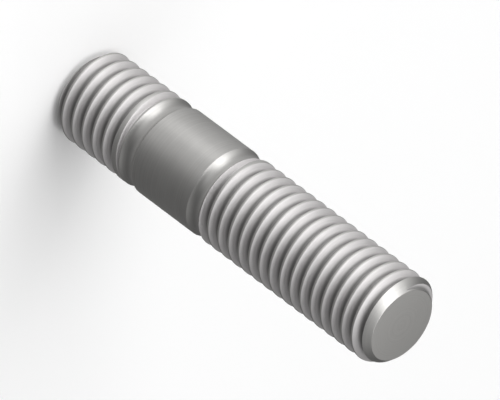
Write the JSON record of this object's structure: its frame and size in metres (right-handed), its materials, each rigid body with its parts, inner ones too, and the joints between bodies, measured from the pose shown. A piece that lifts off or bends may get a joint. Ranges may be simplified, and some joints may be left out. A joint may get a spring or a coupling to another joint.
{
  "type": "stud bolt",
  "caption": "Double-end threaded steel stud with a short tap end, a plain full-diameter shank between two shallow rounded grooves, and a longer nut end.",
  "frame": {"origin": "centre of the tap end's flat end face, on which the stud stands", "axes": "+Z along the stud's axis, from the short tap end to the long nut end"},
  "size_m": [0.01, 0.01, 0.046],
  "materials": {
    "steel": "satin, turned and thread-rolled, uncoated"
  },
  "bodies": {
    "root": {"stud": "steel"}
  },
  "joints": []
}
